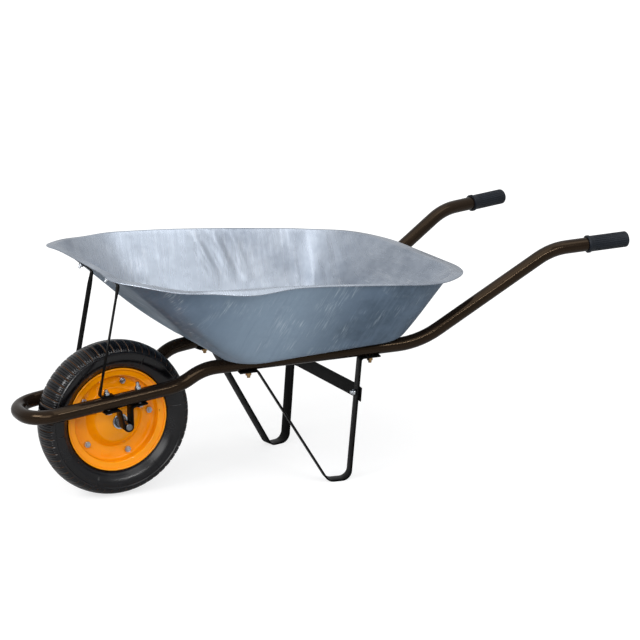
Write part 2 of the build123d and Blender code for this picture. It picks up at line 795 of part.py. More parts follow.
with BuildPart() as left_rim_half:
    mirror(right_rim_half.part, about=Plane.XZ)
    with BuildSketch(valve_plane):
        Circle(valve_diameter / 2 + bolt_clearance)
    extrude(amount=bead_seat_radius + rim_sheet - valve_tip_radius, mode=Mode.SUBTRACT)
finish(left_rim_half, "left_rim_half")

rim_head_plane = Plane(origin=axle_centre + lateral * (rim_sheet + seat_gap), x_dir=(1, 0, 0), z_dir=lateral)
rim_nut_plane = Plane(origin=axle_centre - lateral * (rim_sheet + seat_gap), x_dir=(1, 0, 0), z_dir=-lateral)


def spots_on_ring(plane, turn):
    spots = []
    for index in range(rim_bolt_count):
        angle = radians(turn * (rim_bolt_phase + 360 / rim_bolt_count * index))
        spot = plane.from_local_coords((bolt_ring_radius * cos(angle), bolt_ring_radius * sin(angle)))
        spots.append(Plane(origin=spot, x_dir=plane.x_dir, z_dir=plane.z_dir))
    return spots


rim_bolts = hex_bolts(
    spots_on_ring(rim_head_plane, -1),
    bolt_diameter,
    bolt_flats,
    bolt_head,
    2 * (rim_sheet + seat_gap) + nut_height + bolt_stub / 2,
)
finish(rim_bolts, "rim_bolts")
rim_nuts = hex_nuts(spots_on_ring(rim_nut_plane, 1), bolt_diameter, bolt_flats, nut_height)
finish(rim_nuts, "rim_nuts")

# Tyre: half section as radius against distance from the centre plane, mirrored and turned round the axle
crown_radius = tyre_diameter / 2
bead_foot = bead_seat_radius + bead_gap
bead_heel = bead_half_width - rim_sheet - 2 * bead_gap
bead_toe = bead_heel - tyre_wall
lip_clear = rim_lip_radius + 1.5 * rim_sheet + 2 * bead_gap
lip_round = 2.5
lip_clear_half_width = bead_half_width + 2 * rim_sheet
sidewall_radius = (lip_clear + shoulder_radius) / 2
tread_arc_radius = (shoulder_radius + 3 * crown_radius) / 4
cavity_crown = crown_radius - tyre_crown
cavity_neck_half_width = lip_clear_half_width - tyre_wall


def mirrored_section(outline, mode=Mode.ADD):
    half = make_face(outline.edges(), mode=mode)
    mirror(half, about=Plane.XZ, mode=mode)


with BuildLine() as tyre_outline:
    Polyline((bead_foot, 0), (crown_radius, 0))
    ThreePointArc(
        (crown_radius, 0),
        (tread_arc_radius, shoulder_half_width / 2),
        (shoulder_radius, shoulder_half_width),
    )
    ThreePointArc(
        (shoulder_radius, shoulder_half_width),
        (sidewall_radius, tyre_width / 2),
        (lip_clear, lip_clear_half_width),
    )
    Polyline(
        (lip_clear, lip_clear_half_width),
        (lip_clear, bead_heel + lip_round),
        (lip_clear - lip_round, bead_heel),
        (bead_foot, bead_heel),
        (bead_foot, 0),
    )
with BuildLine() as cavity_outline:
    Polyline((cavity_crown, 0), (bead_foot, 0), (bead_foot, bead_toe), (lip_clear, cavity_neck_half_width))
    ThreePointArc(
        (lip_clear, cavity_neck_half_width),
        (sidewall_radius, tyre_width / 2 - tyre_wall),
        (cavity_crown, 0),
    )
groove_top_half_width = shoulder_half_width * 0.55
groove_end_half_width = shoulder_half_width + tread_depth
groove_points = [
    (crown_radius - tread_depth, groove_top_half_width),
    (shoulder_radius - tread_depth, groove_end_half_width),
    (crown_radius + tread_depth, groove_end_half_width),
    (crown_radius + tread_depth, groove_top_half_width),
]
groove_planes = []
for index in range(tread_lug_count):
    angle = radians(360 / tread_lug_count * index)
    radial = Vector(cos(angle), 0, sin(angle))
    groove_planes.append(Plane(origin=axle_centre, x_dir=radial, z_dir=(-sin(angle), 0, cos(angle))))
with BuildPart() as tyre:
    with BuildSketch(wheel_section):
        mirrored_section(tyre_outline)
        mirrored_section(cavity_outline, mode=Mode.SUBTRACT)
    revolve(axis=axle_line)
    with BuildSketch(*groove_planes):
        Polygon(*groove_points, align=None)
        Polygon(*[(radius, -half) for radius, half in groove_points], align=None)
    extrude(amount=tread_groove_width / 2, both=True, mode=Mode.SUBTRACT)
finish(tyre, "tyre")

# Inner tube and its valve, which comes out through the left rim half
with BuildPart() as inner_tube:
    with BuildSketch(wheel_section):
        mirrored_section(cavity_outline)
        offset(amount=-inner_tube_gap)
        offset(amount=-inner_tube_wall, mode=Mode.SUBTRACT)
    revolve(axis=axle_line)
finish(inner_tube, "inner_tube")
valve_root = bead_foot + inner_tube_gap - seat_gap
with BuildPart() as valve_stem:
    with BuildSketch(valve_plane):
        Circle(valve_diameter / 2)
    extrude(amount=valve_root - valve_tip_radius)
finish(valve_stem, "valve_stem")
with BuildPart() as valve_cap:
    with BuildSketch(valve_plane.offset(-seat_gap)):
        Circle(valve_cap_diameter / 2)
    extrude(amount=-valve_cap_length)
    fillet(valve_cap.faces().sort_by(Axis(valve_foot, valve_direction))[0].edges(), valve_cap_diameter / 6)
finish(valve_cap, "valve_cap")
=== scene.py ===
import math

import bpy
from mathutils import Matrix, Vector


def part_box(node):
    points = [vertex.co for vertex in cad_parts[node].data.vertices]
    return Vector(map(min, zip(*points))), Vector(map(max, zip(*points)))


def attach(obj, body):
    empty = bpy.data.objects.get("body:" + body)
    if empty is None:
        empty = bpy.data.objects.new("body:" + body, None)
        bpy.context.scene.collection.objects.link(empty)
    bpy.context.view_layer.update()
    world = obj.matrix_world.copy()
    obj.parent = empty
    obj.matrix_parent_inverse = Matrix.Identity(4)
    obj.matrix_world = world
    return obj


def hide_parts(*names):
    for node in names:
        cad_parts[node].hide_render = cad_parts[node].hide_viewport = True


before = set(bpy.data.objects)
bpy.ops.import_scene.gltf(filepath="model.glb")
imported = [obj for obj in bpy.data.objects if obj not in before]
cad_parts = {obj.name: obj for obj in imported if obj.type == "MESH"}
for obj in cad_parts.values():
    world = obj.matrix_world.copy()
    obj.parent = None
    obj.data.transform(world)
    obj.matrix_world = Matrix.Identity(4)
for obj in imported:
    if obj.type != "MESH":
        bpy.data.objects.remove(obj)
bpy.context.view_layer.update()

# Sizes are in millimetres and turn to metres where a point is placed
MM = 0.001
axle_low, axle_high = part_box("axle")
AXLE = (axle_low + axle_high) / 2


def spot(station, across, height):
    """A place on the object. A station is a distance behind the axle."""
    return Vector((AXLE.x + station * MM, across * MM, height * MM))


def smooth_step(low, high, value):
    share = min(1.0, max(0.0, (value - low) / (high - low)))
    return share * share * (3 - 2 * share)


def hump(middle, reach, value):
    return math.exp(-(((value - middle) / reach) ** 2))


# Working with Blender's tools
MERGE_DISTANCE = 0.001
FLAT_ANGLE = math.radians(0.4)


def select_only(piece):
    if bpy.context.mode != "OBJECT":
        bpy.ops.object.mode_set(mode="OBJECT")
    bpy.ops.object.select_all(action="DESELECT")
    if piece:
        piece.select_set(True)
        bpy.context.view_layer.objects.active = piece


def edit_all(piece):
    select_only(piece)
    bpy.ops.object.mode_set(mode="EDIT")
    bpy.ops.mesh.select_all(action="SELECT")


def merge_points(piece, flatten=False):
    edit_all(piece)
    bpy.ops.mesh.remove_doubles(threshold=MERGE_DISTANCE * MM)
    if flatten:
        bpy.ops.mesh.dissolve_limited(angle_limit=FLAT_ANGLE)
    bpy.ops.object.mode_set(mode="OBJECT")


def turn_outwards(piece):
    edit_all(piece)
    bpy.ops.mesh.normals_make_consistent(inside=False)
    bpy.ops.object.mode_set(mode="OBJECT")


def apply_modifier(piece, kind, **settings):
    select_only(piece)
    modifier = piece.modifiers.new(kind.title(), kind)
    for name, value in settings.items():
        setattr(modifier, name, value)
    bpy.ops.object.modifier_apply(modifier=modifier.name)


def smooth(piece, degrees):
    select_only(piece)
    bpy.ops.object.shade_smooth_by_angle(angle=math.radians(degrees))


def pressed_grid(name, columns, rings, place, ring_closed):
    """A flat grid pressed to shape: place(column, ring) gives each point. Columns close on themselves."""
    select_only(None)
    bpy.ops.mesh.primitive_grid_add(x_subdivisions=columns, y_subdivisions=rings, size=1)
    piece = bpy.context.object
    piece.name = name
    across = columns + 1
    for point in piece.data.vertices:
        column = (point.index % across) % columns
        ring = point.index // across
        if ring_closed:
            ring = ring % rings
        point.co = place(column, ring)
    return piece


def put_on(piece, body, slot, *nodes):
    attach(piece, body)
    if nodes:
        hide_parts(*nodes)
    return piece


# Colours and nodes
def hex_colour(code):
    channels = [int(code[start:start + 2], 16) / 255 for start in (1, 3, 5)]
    linear = [c / 12.92 if c <= 0.04045 else ((c + 0.055) / 1.055) ** 2.4 for c in channels]
    return (*linear, 1.0)


def marks(size):
    """The scale of a pattern whose marks are about this many millimetres across."""
    return 1 / (size * MM)


def add(tree, kind, sockets, **settings):
    node = tree.nodes.new(kind)
    for name, value in settings.items():
        setattr(node, name, value)
    for socket, value in sockets.items():
        if isinstance(value, bpy.types.NodeSocket):
            tree.links.new(value, node.inputs[socket])
        else:
            node.inputs[socket].default_value = value
    return node


def new_material(name):
    material = bpy.data.materials.new(name)
    material.use_nodes = True
    material.node_tree.nodes.clear()
    tree = material.node_tree
    coordinates = add(tree, "ShaderNodeTexCoord", {}).outputs["Object"]
    return material, tree, coordinates


def finish_material(tree, shader):
    add(tree, "ShaderNodeOutputMaterial", {"Surface": shader.outputs[0]})


# Sockets of the colour Mix node
FACTOR, FIRST, SECOND, MIXED = 0, 6, 7, 2

# Streaks and hairlines in the zinc: their width, then their length. Real hairlines are finer and would
# not show.
STREAK = (9 * MM, 160 * MM, 160 * MM)
HAIRLINE = (2.6 * MM, 35 * MM, 35 * MM)
# Where along the object the painted pool of light on the zinc is brightest, how far it is fully bright and
# where it ends
PAINTED_LIGHT_PLACE = -205 * MM
PAINTED_LIGHT_CORE = 20 * MM
PAINTED_LIGHT_REACH = 240 * MM


# Hot-dip galvanised steel sheet: zinc grey with a faint spangle, drawing streaks, rubbed scuffs and a
# painted pool of light on the walls ahead of the middle
def galvanised_sheet(name, dull, bright, painted_light_colour, scuff, streak_turn, scuff_amount, metallic, roughness):
    material, tree, place = new_material(name)
    clouds = add(
        tree,
        "ShaderNodeTexNoise",
        {"Vector": place, "Scale": marks(143), "Detail": 5.0, "Roughness": 0.6},
    )
    spangle = add(tree, "ShaderNodeTexVoronoi", {"Vector": place, "Scale": marks(9.1)})
    turned = (0, math.radians(streak_turn), 0)
    streak_place = add(
        tree,
        "ShaderNodeMapping",
        {"Vector": place, "Rotation": turned, "Scale": STREAK},
        vector_type="TEXTURE",
    )
    streaks = add(
        tree,
        "ShaderNodeTexNoise",
        {"Vector": streak_place.outputs[0], "Scale": 1.0, "Detail": 6.0},
    )
    hair_place = add(
        tree,
        "ShaderNodeMapping",
        {"Vector": place, "Rotation": turned, "Scale": HAIRLINE},
        vector_type="TEXTURE",
    )
    hairlines = add(
        tree,
        "ShaderNodeTexNoise",
        {"Vector": hair_place.outputs[0], "Scale": 1.0, "Detail": 3.0},
    )
    patches = add(
        tree,
        "ShaderNodeTexNoise",
        {"Vector": place, "Scale": marks(77), "Detail": 3.0, "Distortion": 0.6},
    )
    cloud_share = add(
        tree,
        "ShaderNodeMapRange",
        {"Value": clouds.outputs[0], "From Min": 0.34, "From Max": 0.68},
    )
    clouded = add(
        tree,
        "ShaderNodeMix",
        {FACTOR: cloud_share.outputs[0], FIRST: hex_colour(dull), SECOND: hex_colour(bright)},
        data_type="RGBA",
    )
    # Painted light: a pool of light from the front-left makes the zinc palest on the walls ahead of the
    # middle
    place_parts = add(tree, "ShaderNodeSeparateXYZ", {"Vector": place})
    from_painted_light = add(
        tree,
        "ShaderNodeMath",
        {0: place_parts.outputs["X"], 1: PAINTED_LIGHT_PLACE},
        operation="SUBTRACT",
    )
    off_painted_light = add(tree, "ShaderNodeMath", {0: from_painted_light.outputs[0]}, operation="ABSOLUTE")
    painted_light_share = add(
        tree,
        "ShaderNodeMapRange",
        {
            "Value": off_painted_light.outputs[0],
            "From Min": PAINTED_LIGHT_CORE,
            "From Max": PAINTED_LIGHT_REACH,
            "To Min": 0.9,
            "To Max": 0.0,
        },
        interpolation_type="SMOOTHSTEP",
    )
    painted_light_mixed = add(
        tree,
        "ShaderNodeMix",
        {FACTOR: painted_light_share.outputs[0], FIRST: clouded.outputs[MIXED], SECOND: hex_colour(painted_light_colour)},
        data_type="RGBA",
    )
    grain_share = add(
        tree,
        "ShaderNodeMapRange",
        {"Value": spangle.outputs["Color"], "To Min": 0.0, "To Max": 0.16},
    )
    grained = add(
        tree,
        "ShaderNodeMix",
        {FACTOR: grain_share.outputs[0], FIRST: painted_light_mixed.outputs[MIXED], SECOND: hex_colour(bright)},
        data_type="RGBA",
    )
    streak_share = add(
        tree,
        "ShaderNodeMapRange",
        {"Value": streaks.outputs[0], "From Min": 0.5, "From Max": 0.72, "To Max": 0.32},
    )
    streaked = add(
        tree,
        "ShaderNodeMix",
        {FACTOR: streak_share.outputs[0], FIRST: grained.outputs[MIXED], SECOND: hex_colour(bright)},
        data_type="RGBA",
    )
    patch_share = add(
        tree,
        "ShaderNodeMapRange",
        {"Value": patches.outputs[0], "From Min": 0.5, "From Max": 0.7},
    )
    hair_share = add(
        tree,
        "ShaderNodeMapRange",
        {"Value": hairlines.outputs[0], "From Min": 0.5, "From Max": 0.68, "To Max": scuff_amount},
    )
    scuff_share = add(
        tree,
        "ShaderNodeMath",
        {0: patch_share.outputs[0], 1: hair_share.outputs[0]},
        operation="MULTIPLY",
    )
    scuffed = add(
        tree,
        "ShaderNodeMix",
        {FACTOR: scuff_share.outputs[0], FIRST: streaked.outputs[MIXED], SECOND: hex_colour(scuff)},
        data_type="RGBA",
    )
    roughing = add(
        tree,
        "ShaderNodeMapRange",
        {
            "Value": streaks.outputs[0],
            "From Min": 0.3,
            "From Max": 0.7,
            "To Min": roughness + 0.07,
            "To Max": roughness - 0.07,
        },
    )
    dents = add(tree, "ShaderNodeTexNoise", {"Vector": place, "Scale": marks(62.5), "Detail": 2.0})
    dent_bump = add(
        tree,
        "ShaderNodeBump",
        {"Height": dents.outputs[0], "Strength": 0.22, "Distance": 6 * MM},
    )
    shader = add(
        tree,
        "ShaderNodeBsdfPrincipled",
        {
            "Base Color": scuffed.outputs[MIXED],
            "Roughness": roughing.outputs[0],
            "Metallic": metallic,
            "Normal": dent_bump.outputs[0],
        },
    )
    finish_material(tree, shader)
    return material


# Gloss stoving paint on steel: even colour, a little orange peel, dust that dulls it in patches
def gloss_paint(name, colour, worn, sheen, roughness, specular, coat, peel_strength):
    material, tree, place = new_material(name)
    clouds = add(tree, "ShaderNodeTexNoise", {"Vector": place, "Scale": marks(111), "Detail": 5.0})
    share = add(
        tree,
        "ShaderNodeMapRange",
        {"Value": clouds.outputs[0], "From Min": 0.4, "From Max": 0.75},
    )
    base = add(
        tree,
        "ShaderNodeMix",
        {FACTOR: share.outputs[0], FIRST: hex_colour(colour), SECOND: hex_colour(worn)},
        data_type="RGBA",
    )
    dust = add(tree, "ShaderNodeTexNoise", {"Vector": place, "Scale": marks(18.2), "Detail": 6.0})
    dulling = add(
        tree,
        "ShaderNodeMapRange",
        {
            "Value": dust.outputs[0],
            "From Min": 0.35,
            "From Max": 0.7,
            "To Min": roughness - 0.04,
            "To Max": roughness + 0.06,
        },
    )
    peel = add(tree, "ShaderNodeTexNoise", {"Vector": place, "Scale": marks(3), "Detail": 1.0})
    peel_bump = add(
        tree,
        "ShaderNodeBump",
        {"Height": peel.outputs[0], "Strength": peel_strength, "Distance": 0.6 * MM},
    )
    shader = add(
        tree,
        "ShaderNodeBsdfPrincipled",
        {
            "Base Color": base.outputs[MIXED],
            "Roughness": dulling.outputs[0],
            "Specular IOR Level": specular,
            "Specular Tint": hex_colour(sheen),
            "Coat Weight": coat,
            "Coat Roughness": 0.06,
            "Normal": peel_bump.outputs[0],
        },
    )
    finish_material(tree, shader)
    return material


# Zinc plate, ground steel or turned brass: bright metal with a fine grain and small dull spots
def small_part_metal(name, colour, dull, roughness, grain_size):
    material, tree, place = new_material(name)
    spots = add(tree, "ShaderNodeTexNoise", {"Vector": place, "Scale": marks(8.3), "Detail": 4.0})
    share = add(
        tree,
        "ShaderNodeMapRange",
        {"Value": spots.outputs[0], "From Min": 0.4, "From Max": 0.7},
    )
    base = add(
        tree,
        "ShaderNodeMix",
        {FACTOR: share.outputs[0], FIRST: hex_colour(colour), SECOND: hex_colour(dull)},
        data_type="RGBA",
    )
    grain = add(tree, "ShaderNodeTexNoise", {"Vector": place, "Scale": marks(grain_size), "Detail": 3.0})
    roughing = add(
        tree,
        "ShaderNodeMapRange",
        {"Value": grain.outputs[0], "To Min": roughness - 0.08, "To Max": roughness + 0.12},
    )
    grain_bump = add(
        tree,
        "ShaderNodeBump",
        {"Height": grain.outputs[0], "Strength": 0.1, "Distance": 0.3 * MM},
    )
    shader = add(
        tree,
        "ShaderNodeBsdfPrincipled",
        {
            "Base Color": base.outputs[MIXED],
            "Roughness": roughing.outputs[0],
            "Metallic": 1.0,
            "Normal": grain_bump.outputs[0],
        },
    )
    finish_material(tree, shader)
    return material


# Moulded rubber and plastic: nearly black under a thin dust, with soil where an attribute marks a groove.
# The grain is drawn coarser than the real one, which is a few tenths of a millimetre.
def moulded_black(name, colour, dusty, roughness, specular, groove=None, soil=None):
    material, tree, place = new_material(name)
    clouds = add(
        tree,
        "ShaderNodeTexNoise",
        {"Vector": place, "Scale": marks(41.7), "Detail": 6.0, "Roughness": 0.65},
    )
    share = add(
        tree,
        "ShaderNodeMapRange",
        {"Value": clouds.outputs[0], "From Min": 0.42, "From Max": 0.78},
    )
    base = add(
        tree,
        "ShaderNodeMix",
        {FACTOR: share.outputs[0], FIRST: hex_colour(colour), SECOND: hex_colour(dusty)},
        data_type="RGBA",
    )
    shown = base.outputs[MIXED]
    if groove:
        depth = add(tree, "ShaderNodeAttribute", {}, attribute_name=groove)
        soil_share = add(
            tree,
            "ShaderNodeMapRange",
            {"Value": depth.outputs["Fac"], "From Min": 0.3, "From Max": 0.8},
        )
        soiled = add(
            tree,
            "ShaderNodeMix",
            {FACTOR: soil_share.outputs[0], FIRST: shown, SECOND: hex_colour(soil)},
            data_type="RGBA",
        )
        shown = soiled.outputs[MIXED]
    grain = add(tree, "ShaderNodeTexNoise", {"Vector": place, "Scale": marks(1.43), "Detail": 2.0})
    roughing = add(
        tree,
        "ShaderNodeMapRange",
        {"Value": clouds.outputs[0], "To Min": roughness - 0.1, "To Max": roughness + 0.15},
    )
    grain_bump = add(
        tree,
        "ShaderNodeBump",
        {"Height": grain.outputs[0], "Strength": 0.12, "Distance": 0.5 * MM},
    )
    shader = add(
        tree,
        "ShaderNodeBsdfPrincipled",
        {
            "Base Color": shown,
            "Roughness": roughing.outputs[0],
            "Specular IOR Level": specular,
            "Normal": grain_bump.outputs[0],
        },
    )
    finish_material(tree, shader)
    return material


# Inside of the tray: zinc smooth enough to mirror the lamps softly. Its colours are lighter than the
# outside's as painted light, the lit copy of one zinc
galvanised_inside_lit = galvanised_sheet(
    "galvanised_sheet_inside_painted_light",
    dull="#868F9C",
    bright="#B5BDC8",
    painted_light_colour="#ABB4C0",
    scuff="#D8DCE2",
    streak_turn=8,
    scuff_amount=0.35,
    metallic=0.7,
    roughness=0.28,
)
# Outside of the tray: rougher and bluer zinc with more rubbed scuffs. Its colours are darker than the
# inside's as painted shade of the darker surroundings it mirrors
galvanised_outside_shaded = galvanised_sheet(
    "galvanised_sheet_outside_painted_shade",
    dull="#4A5C6D",
    bright="#70849A",
    painted_light_colour="#98ACBF",
    scuff="#BFCEDA",
    streak_turn=16,
    scuff_amount=0.8,
    metallic=0.5,
    roughness=0.5,
)
# Paint of the tube: nearly black, with a warm gloss along its top
bronze_paint = gloss_paint(
    "dark_bronze_stoving_paint",
    colour="#150F0B",
    worn="#1D1510",
    sheen="#F0CDA6",
    roughness=0.13,
    specular=0.32,
    coat=0.0,
    peel_strength=0.01,
)
# Paint of the flat strips: satin black that shows little of the lamps
black_paint = gloss_paint(
    "black_stoving_paint",
    colour="#070707",
    worn="#0D0C0C",
    sheen="#FFFFFF",
    roughness=0.34,
    specular=0.06,
    coat=0.0,
    peel_strength=0.03,
)
# Paint of the rim: full orange under a thin clear coat
orange_paint = gloss_paint(
    "orange_stoving_paint",
    colour="#FF9E02",
    worn="#FC9700",
    sheen="#FFE9C8",
    roughness=0.17,
    specular=0.35,
    coat=0.35,
    peel_strength=0.03,
)
# Metal of the small parts: bright or yellow plate on the fasteners, dull steel in the hub and bright ground
# steel in the bearings. The grain shows only close up, and the real one is finer still.
PLATE_GRAIN = 1.11
GROUND_GRAIN = 0.67
BRASS_GRAIN = 0.91
zinc_plate = small_part_metal("bright_zinc_plate", "#CDD1D6", "#9EA4AD", 0.26, PLATE_GRAIN)
yellow_zinc = small_part_metal("yellow_passivated_zinc", "#B39468", "#86694A", 0.28, PLATE_GRAIN)
shield_steel = small_part_metal("phosphated_shield_steel", "#5C6167", "#474B50", 0.38, PLATE_GRAIN)
axle_steel = small_part_metal("oiled_axle_steel", "#85888C", "#5A5D61", 0.34, PLATE_GRAIN)
ground_steel = small_part_metal("ground_bearing_steel", "#C2C6CC", "#AEB3BA", 0.2, GROUND_GRAIN)
turned_brass = small_part_metal("turned_brass", "#CBA65E", "#A98645", 0.32, BRASS_GRAIN)
# Rubber: the tyre has a sheen and soil in its tread, the grips are blue-black and matt, the tube is dull
tyre_rubber = moulded_black("tyre_rubber", "#040406", "#0C0C10", 0.22, 0.42, "groove", "#5E4532")
grip_rubber = moulded_black("grip_rubber", "#0D131B", "#171E28", 0.46, 0.3)
tube_rubber = moulded_black("butyl_tube_rubber", "#121213", "#1C1C1E", 0.6, 0.3)
# Plastic of the valve's cap: black with a soft gloss
cap_plastic = moulded_black("black_cap_plastic", "#0D0D0E", "#161618", 0.42, 0.3)


# Tray: one sheet drawn from its rolled edge, over the flange and down the walls to the middle of the floor
SHEET = 1.2
HEM = 1.5
RIM_BEND = 3.0
FLOOR_FILLET = 15.0
FOOT_INSET = 0.6 * SHEET
RIM_FRONT = -74.0
RIM_FRONT_HEIGHT = 542.5
RIM_FALL = 0.085
FLOOR_FRONT = 178.0
FLOOR_FRONT_HEIGHT = 306.57
FLOOR_RISE = 0.043086
FLOOR_MIDDLE = 435.0
# How far the rim rises over its straight line, and dips under it
NOSE_RISE = 4.0
SIDE_RISE = 4.5
REAR_RISE = 4.0
CORNER_DIP = 5.0
# Stations, and distances across from the middle, over which a form comes in or fades
NOSE_FADE = (20, 115)
NOSE_RISE_FADE_ACROSS = (140, 215)
NOSE_CORNER_ACROSS = (100, 185)
SIDE_RISE_IN = (110, 310)
SIDE_RISE_FADE = (360, 700)
DIP_ACROSS = (195, 250)
WRINKLES_IN = (300, 330)
WRINKLES_FADE = (430, 470)
CORNER_BELLY_ACROSS = (115, 200)
SIDE_BELLY_IN = (150, 300)
# Stations in the middle of a form, and its reach to each side
REAR_RISE_PLACE = (730, 45)
DIP_PLACE = (50, 52)
SIDE_FLANGE_PLACE = (190, 80)
SIDE_DROOP_PLACE = (190, 82)
CORNER_BELLY_PLACE = (5, 80)
# The flange's width and droop, and what the nose, the sides and the rear add to them
FLANGE = 7.0
NOSE_FLANGE = 5.0
NOSE_CORNER_FLANGE = 8.0
SIDE_FLANGE = 14.0
REAR_FLANGE = 25.0
REAR_FLANGE_POWER = 1.5
DROOP = 1.5
SIDE_DROOP = 8.0
REAR_DROOP = 2.0
# Draw wrinkles in the long walls, stronger on the right one, and the belly of the front corners
RIGHT_WRINKLE = 2.3
LEFT_WRINKLE = 0.6
FIRST_WRINKLE = 308.0
WRINKLE_PITCH = 54.0
WRINKLE_END = 0.62
WRINKLE_POWER = 0.8
CORNER_BELLY = 30.0
SIDE_BELLY = 2.0
# A power over 1 puts the belly's fullest place below the middle of the wall
BELLY_POWER = 1.9
# Steps along the straight stretches and round the corners of an outline, and down a section
LINE_STEPS = (8, 6, 48, 12)
CORNER_STEPS = (14, 16, 18)
HEM_ANGLES = (-200, -155, -110, -65, -20, 25, 60, 90)
FLANGE_STEPS = 4
BEND_STEPS = 4
WALL_STEPS = 24
FILLET_STEPS = 6
FLOOR_SHARES = (0.0, 0.08, 0.25, 0.5, 0.75, 1.0)


def rim_height(station):
    return RIM_FRONT_HEIGHT - RIM_FALL * (station - RIM_FRONT)


def floor_height(station):
    return FLOOR_FRONT_HEIGHT + FLOOR_RISE * (station - FLOOR_FRONT)


def rounded_corner(before, corner, after, radius, steps):
    back = (before - corner).normalized()
    ahead = (after - corner).normalized()
    half_angle = back.angle(ahead) / 2
    reach = radius / math.tan(half_angle)
    centre = corner + (back + ahead).normalized() * (radius / math.sin(half_angle))
    start = corner + back * reach - centre
    sweep = math.pi - 2 * half_angle
    turn = math.copysign(sweep, start.y * back.x - start.x * back.y)
    return [centre + Matrix.Rotation(turn * step / steps, 2) @ start for step in range(steps + 1)]


def tray_loop(front, rear, nose_half, front_half, rear_half, radii):
    """Points round one outline, from the middle of the front along the right side and back on the left."""
    corners = [
        Vector((front, 0)),
        Vector((front, nose_half)),
        Vector((front + front_half - nose_half, front_half)),
        Vector((rear, rear_half)),
        Vector((rear, 0)),
    ]
    right = [corners[0]]
    for index, radius in enumerate(radii):
        before, corner, after = corners[index:index + 3]
        bend = rounded_corner(before, corner, after, radius, CORNER_STEPS[index])
        begin = right[-1]
        steps = LINE_STEPS[index]
        right += [begin.lerp(bend[0], step / steps) for step in range(1, steps)]
        right += bend
    begin = right[-1]
    steps = LINE_STEPS[-1]
    right += [begin.lerp(corners[-1], step / steps) for step in range(1, steps + 1)]
    left = [Vector((point.x, -point.y)) for point in reversed(right[1:-1])]
    return right + left


wall_top = tray_loop(
    front=-62.0, rear=774.0, nose_half=188.0, front_half=316.0, rear_half=314.0, radii=(62.0, 235.0, 196.0)
)
wall_foot = tray_loop(
    front=222.0, rear=648.0, nose_half=152.0, front_half=194.0, rear_half=216.0, radii=(70.0, 70.0, 70.0)
)
tray_columns = len(wall_top)
floor_middle = Vector((FLOOR_MIDDLE, 0.0, floor_height(FLOOR_MIDDLE) + SHEET))


def bezier(first, handle, last, steps):
    points = []
    for step in range(1, steps):
        share = step / steps
        points.append(first.lerp(handle, share).lerp(handle.lerp(last, share), share))
    return points


def rim_form(flat, out):
    """The rim's rise, its flange's width and the flange's droop, at a point of the wall's top."""
    station = flat.x
    across = abs(flat.y)
    nose = 1 - smooth_step(*NOSE_FADE, station)
    rearward = max(0.0, out.x)
    rise = SIDE_RISE * smooth_step(*SIDE_RISE_IN, station) * (1 - smooth_step(*SIDE_RISE_FADE, station))
    rise += NOSE_RISE * nose * (1 - smooth_step(*NOSE_RISE_FADE_ACROSS, across))
    rise += REAR_RISE * hump(*REAR_RISE_PLACE, station)
    rise -= CORNER_DIP * hump(*DIP_PLACE, station) * smooth_step(*DIP_ACROSS, across)
    width = FLANGE + NOSE_FLANGE * nose
    width += NOSE_CORNER_FLANGE * nose * smooth_step(*NOSE_CORNER_ACROSS, across)
    width += SIDE_FLANGE * hump(*SIDE_FLANGE_PLACE, station)
    width += REAR_FLANGE * rearward**REAR_FLANGE_POWER
    droop = DROOP + SIDE_DROOP * hump(*SIDE_DROOP_PLACE, station) + REAR_DROOP * rearward
    return rise, width, droop


def wall_swell(flat, share):
    """How far the wall stands out from straight, at a share of the way down from a point of its top."""
    station = flat.x
    wrinkle = RIGHT_WRINKLE if flat.y > 0 else LEFT_WRINKLE
    wrinkle *= smooth_step(*WRINKLES_IN, station) * (1 - smooth_step(*WRINKLES_FADE, station))
    wrinkle *= math.cos(2 * math.pi * (station - FIRST_WRINKLE) / WRINKLE_PITCH)
    wrinkle *= math.sin(math.pi * min(1.0, share / WRINKLE_END)) ** WRINKLE_POWER
    belly = CORNER_BELLY * hump(*CORNER_BELLY_PLACE, station)
    belly *= smooth_step(*CORNER_BELLY_ACROSS, abs(flat.y))
    belly += SIDE_BELLY * smooth_step(*SIDE_BELLY_IN, station)
    return belly * math.sin(math.pi * share**BELLY_POWER) + wrinkle


def tray_section(column):
    """Points from the rolled edge to the middle of the floor, at one place round the tray."""
    flat = wall_top[column]
    along = wall_top[(column + 1) % tray_columns] - wall_top[column - 1]
    out = Vector((-along.y, along.x, 0)).normalized()
    up = Vector((0, 0, 1))
    rise, width, droop = rim_form(flat, out)
    top = Vector((flat.x, flat.y, rim_height(flat.x) + rise)) - out * SHEET
    foot_flat = wall_foot[column]
    foot = Vector((foot_flat.x, foot_flat.y, floor_height(foot_flat.x) + SHEET)) - out * FOOT_INSET
    flange = width - HEM
    hem_middle = top + out * flange - up * (droop + HEM)
    section = []
    for angle in HEM_ANGLES:
        turn = math.radians(angle)
        section.append(hem_middle + (out * math.cos(turn) + up * math.sin(turn)) * HEM)
    bend_share = RIM_BEND / flange
    for step in range(1, FLANGE_STEPS + 1):
        share = 1 + (bend_share - 1) * step / FLANGE_STEPS
        section.append(top + out * (flange * share) - up * (droop * share * share))
    wall = foot - top
    section += bezier(section[-1], top, top + wall.normalized() * RIM_BEND, BEND_STEPS)
    begin = RIM_BEND / wall.length
    end = 1 - FLOOR_FILLET / wall.length
    for step in range(WALL_STEPS + 1):
        share = begin + (end - begin) * step / WALL_STEPS
        section.append(top + wall * share + out * wall_swell(flat, share))
    floor_start = foot + (floor_middle - foot).normalized() * FLOOR_FILLET
    section += bezier(section[-1], foot, floor_start, FILLET_STEPS)
    section += [floor_start.lerp(floor_middle, share) for share in FLOOR_SHARES]
    return section


tray_sections = [tray_section(column) for column in range(tray_columns)]


def tray_point(column, ring):
    point = tray_sections[column][ring]
    return spot(point.x, point.y, point.z)


tray = pressed_grid("tray_sheet", tray_columns, len(tray_sections[0]) - 1, tray_point, False)
merge_points(tray)
